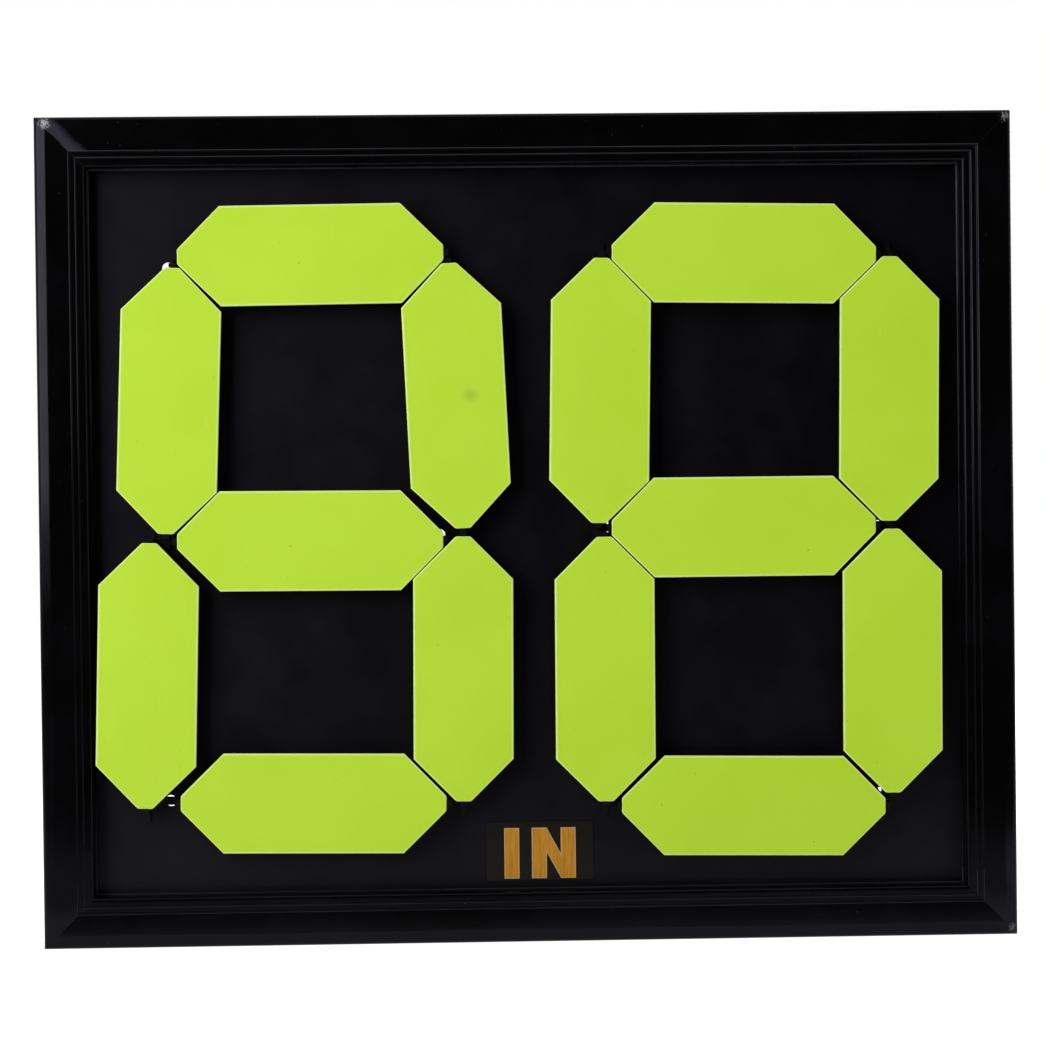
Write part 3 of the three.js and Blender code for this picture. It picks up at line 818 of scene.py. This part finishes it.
def make_letter(node):
    """A letter cut from foil: its outline carried up over a round edge and in over its rim. The letter
    that is a ring has the same rings run back down inside its hole, and closes on itself."""
    low, high = (np.array(corner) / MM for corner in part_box(node))
    letter = node[-1]
    width, height = high[0] - low[0], high[2] - low[2]
    thickness = high[1] - low[1]
    outline = letter_outline(letter, width, height)
    points, rim, rings = plate_rings(outline, thickness, LETTER_ROUND, LETTER_RIM)
    around = len(outline)
    faces = tube_faces(rings, around)
    if letter == "o":
        s, c = LETTER_STROKE, LETTER_INNER_CUT
        x, y = width - s, height - s
        hole = np.array([(s + c, s), (x - c, s), (x, s + c), (x, y - c),
                         (x - c, y), (s + c, y), (s, y - c), (s, s + c)])
        inner, inner_rim, _ = plate_rings(hole[::-1], thickness, LETTER_ROUND, LETTER_RIM)
        inner = inner.reshape(rings, around, 3)[::-1, ::-1].reshape(-1, 3)
        points = np.concatenate([points, inner])
        rim = np.concatenate([rim, inner_rim[::-1]])
        faces = tube_faces(2 * rings, around)[:-2]
        last = (2 * rings - 1) * around
        faces += [[last + i, last + (i + 1) % around, (i + 1) % around, i] for i in range(around)]
    if not node.startswith("in_"):
        points = points * [-1, 1, 1] + [width, 0, 0]
    points = (points + [low[0], low[2], 0]) * MM
    stand_plate(node, f"{node}_foil", points, faces, "gold_foil", rim)


# Floor, light and camera

def stage_sheet(name, corners, material):
    """One flat sheet of the stage, from its four corners."""
    mesh = bpy.data.meshes.new(name)
    mesh.from_pydata(corners, [], [(0, 1, 2, 3)])
    mesh.materials.append(material)
    sheet = bpy.data.objects.new(name, mesh)
    bpy.context.scene.collection.objects.link(sheet)
    return sheet


def seen_directly(tree):
    """1 for rays from the camera, from gloss and through glass, 0 for rays that carry light."""
    path = add(tree, "ShaderNodeLightPath").outputs
    seen = add(tree, "ShaderNodeMath", {
        0: path["Is Camera Ray"], 1: path["Is Transmission Ray"],
    }, operation="MAXIMUM").outputs[0]
    return add(tree, "ShaderNodeMath", {0: seen, 1: path["Is Glossy Ray"]}, operation="MAXIMUM").outputs[0]


def make_floor():
    """A wide pale floor that the camera and reflections see white where no shadow falls."""
    material, tree, _ = start_material("pale_floor")
    seen = seen_directly(tree)
    glow = add(tree, "ShaderNodeMath", {0: seen, 1: FLOOR_GLOW}, operation="MULTIPLY").outputs[0]
    close_material(material, {
        "Base Color": linear("#f0f0f0"), "Roughness": 0.9, "Specular IOR Level": 0.0,
        "Emission Color": (1, 1, 1, 1), "Emission Strength": glow,
    })
    level = CAD_BOX[0][2]
    corners = [(right * FLOOR_REACH, back * FLOOR_REACH, level)
               for right, back in ((-1, -1), (1, -1), (1, 1), (-1, 1))]
    stage_sheet("floor", corners, material)


def make_world():
    """Soft even light from all round, and a white background."""
    world = bpy.data.worlds.new("studio")
    bpy.context.scene.world = world
    world.use_nodes = True
    tree = world.node_tree
    tree.nodes.clear()
    level = add(tree, "ShaderNodeMapRange", {0: seen_directly(tree), 3: WORLD_LIGHT, 4: 1.0}).outputs[0]
    sky = add(tree, "ShaderNodeBackground", {"Color": (1, 1, 1, 1), "Strength": level})
    add(tree, "ShaderNodeOutputWorld", {"Surface": sky.outputs[0]})


def make_cloths():
    """Dark cloths in front of each side of the board and on the floor there, for gloss to mirror."""
    for name, (shade, (left, near, low), (right, far, high)) in CLOTHS.items():
        material, _, _ = start_material(f"{name}_cloth")
        close_material(material, {
            "Base Color": (shade, shade, shade, 1), "Roughness": 1.0, "Specular IOR Level": 0.0,
        })
        for side, turn in (("in", 1), ("out", -1)):
            corners = [(left * turn, -near * turn, low), (right * turn, -near * turn, low),
                       (right * turn, -far * turn, high), (left * turn, -far * turn, high)]
            cloth = stage_sheet(f"{side}_{name}_cloth", corners, material)
            cloth.visible_camera = cloth.visible_diffuse = cloth.visible_shadow = False
            cloth.visible_transmission = cloth.visible_volume_scatter = False


def area_light(name, place, target, size, power):
    """A soft box at a place, turned to face its target."""
    light = bpy.data.lights.new(name, "AREA")
    light.shape = "RECTANGLE"
    light.size, light.size_y = size
    light.energy = power
    lamp = bpy.data.objects.new(name, light)
    bpy.context.scene.collection.objects.link(lamp)
    lamp.location = place
    lamp.rotation_euler = (Vector(target) - Vector(place)).to_track_quat("-Z", "Y").to_euler()


def make_lights():
    """One soft box for each side, on its reader's left and above the board's middle."""
    left, out, up = SOFTBOX_PLACE
    for side, turn in (("in", 1), ("out", -1)):
        place = (-left * turn, -out * turn, up)
        area_light(f"{side}_softbox", place, (0, 0, SOFTBOX_AIM), SOFTBOX_SIZE, KEY_POWER)


def make_camera():
    """The camera at the photograph's place, turn and lens."""
    camera = bpy.data.cameras.new("camera")
    camera.sensor_width = 36
    camera.lens = CAMERA_LENS
    holder = bpy.data.objects.new("camera", camera)
    bpy.context.scene.collection.objects.link(holder)
    holder.location = CAMERA_PLACE
    holder.rotation_euler = [math.radians(turn) for turn in CAMERA_TURN]
    bpy.context.scene.camera = holder


make_camera()
make_flaps()
for direction in ("top", "bottom", "left", "right"):
    make_rail(direction)
for side in ("in", "out"):
    make_label(side)
    for digit in ("tens", "units"):
        eased_copy(f"{side}_{digit}_pivot_frame", "black_pivots", PIVOT_EASE)
eased_copy("panel", "black_panel", PANEL_EASE)
for letter in ("in_letter_i", "in_letter_n", "out_letter_o", "out_letter_u", "out_letter_t"):
    make_letter(letter)
for nail in NAILS:
    make_nail(nail)
make_floor()
make_world()
make_cloths()
make_lights()
bpy.context.scene.view_settings.view_transform = "Standard"
